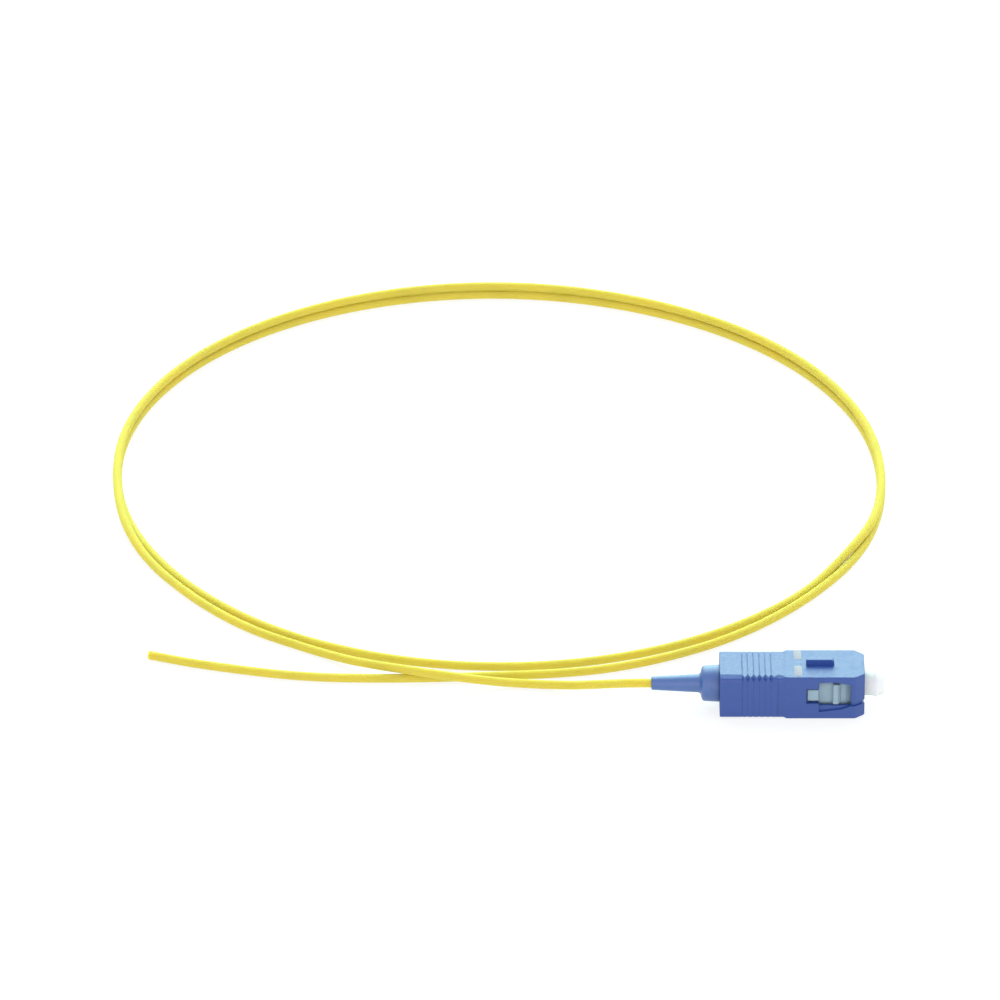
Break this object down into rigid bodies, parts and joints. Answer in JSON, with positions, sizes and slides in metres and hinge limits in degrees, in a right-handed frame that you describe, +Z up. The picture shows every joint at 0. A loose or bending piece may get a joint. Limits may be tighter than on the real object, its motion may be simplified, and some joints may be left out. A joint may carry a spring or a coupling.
{
  "type": "fibre optic pigtail",
  "caption": "Blue push-pull fibre optic plug with a clear dust cap, on a thin yellow buffered fibre laid in a flat coil, its far end cut bare for splicing.",
  "frame": {"origin": "bottom centre of the plug, cap to boot tip, on the floor it lies on", "axes": "+X along the plug towards its dust cap, +Z up out of the key face, +Y across the plug towards the coil of cord"},
  "size_m": [0.1254, 0.1483, 0.0083],
  "materials": {
    "housing": "satin moulded blue plastic",
    "frame": "moulded off-white plastic",
    "ferrule": "polished white zirconia",
    "flange": "nickel-plated metal",
    "spring": "drawn steel wire",
    "rear_body": "moulded dark plastic",
    "boot": "soft blue thermoplastic rubber",
    "dust_cap": "translucent soft plastic",
    "cable": "smooth yellow buffer jacket"
  },
  "bodies": {
    "plug": {"plug_frame": "frame", "rear_body": "rear_body", "boot": "boot", "spring": "spring", "cable_lead": "cable", "cable_coil": "cable", "cable_tail": "cable"},
    "grip": {"outer_housing": "housing"},
    "ferrule": {"ferrule": "ferrule", "ferrule_flange": "flange"},
    "cap": {"dust_cap": "dust_cap"}
  },
  "joints": [
    {"name": "grip_slide", "type": "slide", "parent": "plug", "child": "grip", "axis": [-1, 0, 0], "range_m": [0, 0.0015]},
    {"name": "ferrule_press", "type": "slide", "parent": "plug", "child": "ferrule", "axis": [-1, 0, 0], "range_m": [0, 0.0008], "stiffness_N_per_m": 300, "deforming": ["spring"]},
    {"name": "cap_pull", "type": "slide", "parent": "ferrule", "child": "cap", "axis": [1, 0, 0], "range_m": [0, 0.01]}
  ]
}
